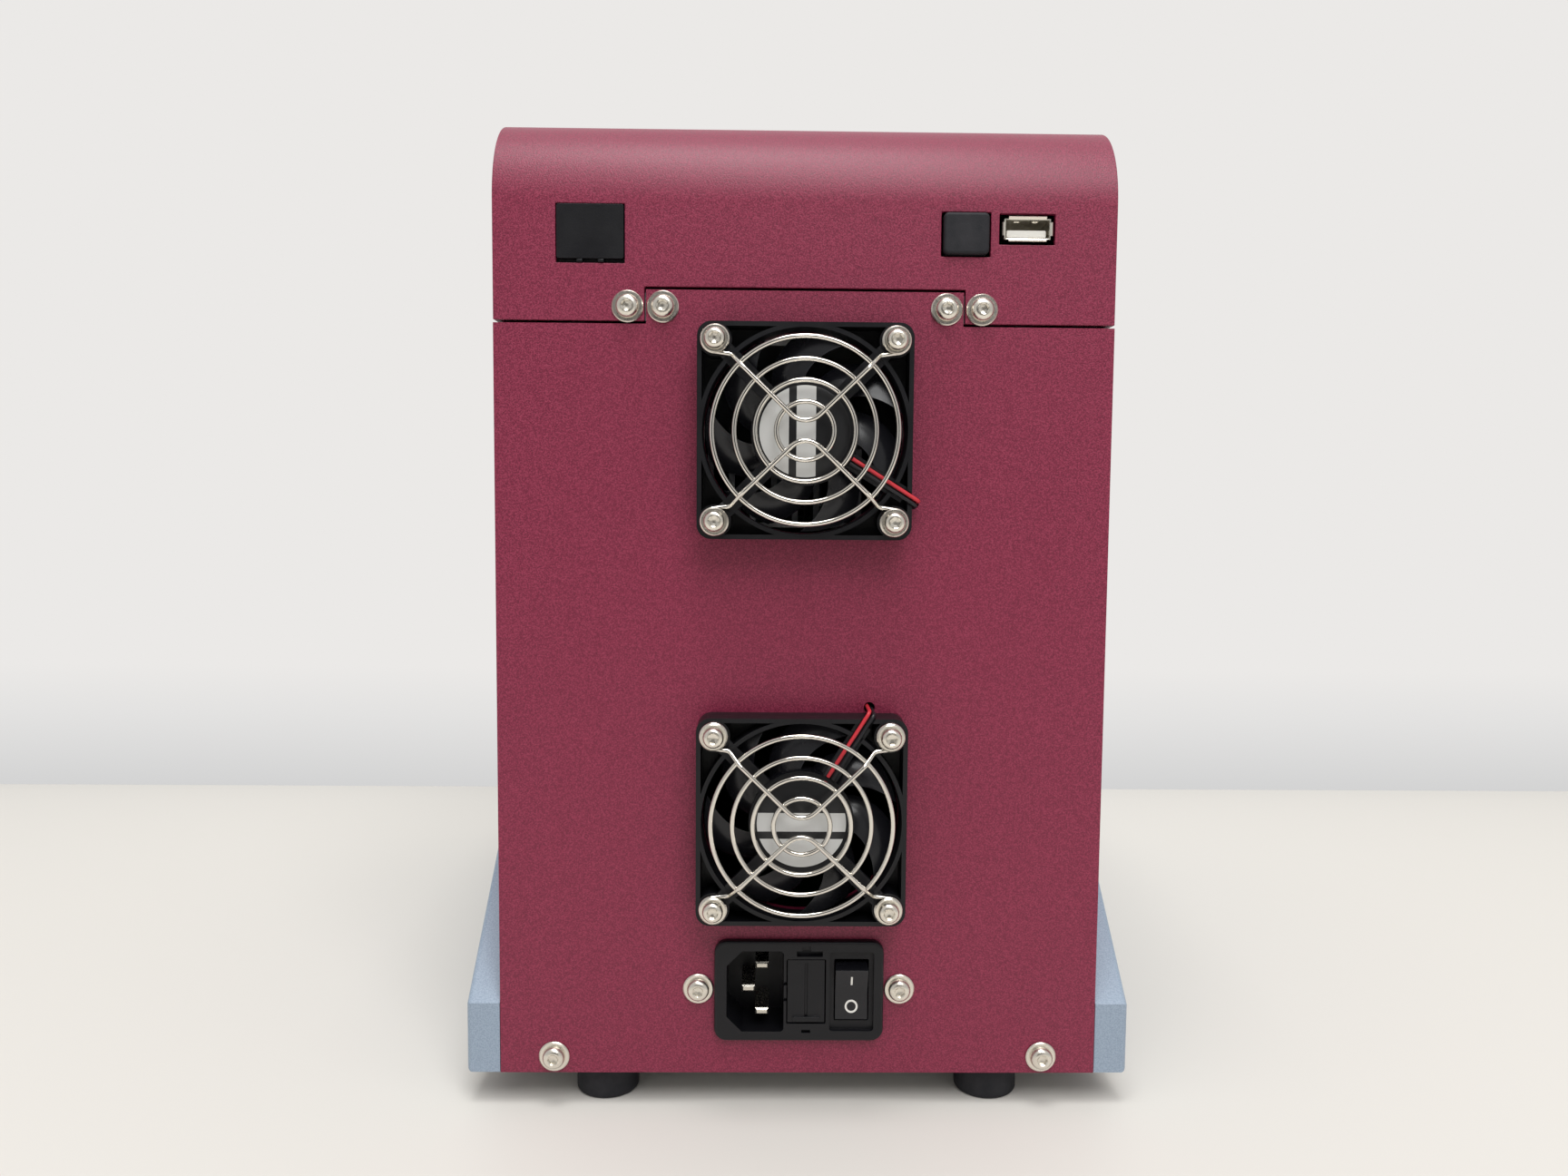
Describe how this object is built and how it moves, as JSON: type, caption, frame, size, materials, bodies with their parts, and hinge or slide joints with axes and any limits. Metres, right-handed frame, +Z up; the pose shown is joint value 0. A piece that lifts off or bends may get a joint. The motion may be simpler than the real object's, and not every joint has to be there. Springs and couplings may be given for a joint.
{
  "type": "thermal cycler",
  "caption": "Personal thermal cycler: burgundy steel tower with a hinged heated lid over tube wells, blue fascia with touch screen, rear fans with wire guards, mains inlet and rubber feet",
  "frame": {"origin": "On the bench, under the centre of the outline", "axes": "+Z up, +Y towards the rear, +X to the right of someone in front"},
  "size_m": [0.1964, 0.3034, 0.2898],
  "materials": {
    "burgundy_coat": "textured powder coat",
    "blue_coat": "fine textured paint",
    "black_plastic": "moulded, fine matt",
    "gloss_black": "moulded, glossy",
    "black_rubber": "moulded",
    "steel_sheet": "zinc plated",
    "bright_steel": "polished stainless",
    "bright_wire": "nickel plated wire",
    "plain_aluminium": "machined",
    "brass_plate": "plated brass",
    "white_plastic": "moulded",
    "grey_plastic": "moulded",
    "screen_glass": "polished",
    "board_green": "solder mask",
    "white_ceramic": "fired",
    "red_sleeve": "extruded",
    "black_sleeve": "extruded",
    "heater_rubber": "moulded",
    "fuse_glass": "glass with plated ends"
  },
  "bodies": {
    "case": {"back_panel": "burgundy_coat", "side_panel_right": "burgundy_coat", "side_panel_left": "burgundy_coat", "hood": "burgundy_coat", "base_tray": "steel_sheet", "rubber_feet": "black_rubber", "foot_screws": "steel_sheet", "cheek_right": "blue_coat", "cheek_left": "blue_coat", "front_fascia": "blue_coat", "touch_screen": "screen_glass", "display_module": "board_green", "deck": "steel_sheet", "join_brackets": "steel_sheet", "panel_screws": "bright_steel", "panel_washers": "bright_steel", "upper_fan_frame": "black_plastic", "upper_fan_guard": "bright_wire", "lower_fan_frame": "black_plastic", "lower_fan_guard": "bright_wire", "fan_leads_red": "red_sleeve", "fan_leads_black": "black_sleeve", "fan_screws": "bright_steel", "fan_washers": "bright_steel", "fan_nuts": "steel_sheet", "inlet_body": "black_plastic", "inlet_pins": "brass_plate", "inlet_bracket": "steel_sheet", "blank_plug": "black_plastic", "type_b_socket": "bright_steel", "usb_receptacle": "bright_steel", "usb_tongue": "white_plastic", "control_board": "board_green", "board_posts": "steel_sheet", "fan_duct_shroud": "steel_sheet", "sample_block": "plain_aluminium", "tube_wells": "plain_aluminium", "block_frame": "black_plastic", "peltier_modules": "white_ceramic", "heat_sink": "plain_aluminium", "sink_posts": "bright_steel", "power_supply": "steel_sheet", "supply_board": "board_green", "driver_board": "board_green", "hinge_brackets": "steel_sheet", "latch_strike": "steel_sheet"},
    "upper_fan": {"upper_fan_rotor": "gloss_black"},
    "lower_fan": {"lower_fan_rotor": "gloss_black"},
    "lid": {"lid_shell": "burgundy_coat", "lid_tray": "grey_plastic", "lid_pins": "bright_steel"},
    "lid_plate": {"heated_plate": "plain_aluminium", "heater_film": "heater_rubber", "plate_springs": "bright_steel"},
    "latch": {"latch_lever": "black_plastic"},
    "rocker": {"power_rocker": "gloss_black"},
    "drawer": {"fuse_drawer": "black_plastic", "fuses": "fuse_glass"},
    "cap": {"rubber_cap": "black_rubber"}
  },
  "joints": [
    {"name": "lid_hinge", "type": "hinge", "parent": "case", "child": "lid", "pos_m": [0, 0.05059, 0.2828], "axis": [-1, 0, 0], "range_deg": [0, 85]},
    {"name": "latch_pivot", "type": "hinge", "parent": "lid", "child": "latch", "pos_m": [0, -0.09041, 0.249], "axis": [1, 0, 0], "range_deg": [0, 7]},
    {"name": "plate_float", "type": "slide", "parent": "lid", "child": "lid_plate", "axis": [0, 0, 1], "range_m": [0, 0.003], "stiffness_N_per_m": 1500, "deforming": ["plate_springs"]},
    {"name": "upper_fan_spin", "type": "hinge", "parent": "case", "child": "upper_fan", "pos_m": [0, 0.14129, 0.199], "axis": [0, 1, 0], "continuous": true},
    {"name": "lower_fan_spin", "type": "hinge", "parent": "case", "child": "lower_fan", "pos_m": [0, 0.14129, 0.0884], "axis": [0, 1, 0], "continuous": true},
    {"name": "rocker_tilt", "type": "hinge", "parent": "case", "child": "rocker", "pos_m": [-0.0155, 0.13329, 0.0358], "axis": [1, 0, 0], "range_deg": [0, 18]},
    {"name": "drawer_slide", "type": "slide", "parent": "case", "child": "drawer", "axis": [0, 1, 0], "range_m": [0, 0.02]},
    {"name": "cap_pull", "type": "slide", "parent": "case", "child": "cap", "axis": [0, 1, 0], "range_m": [0, 0.026]}
  ]
}
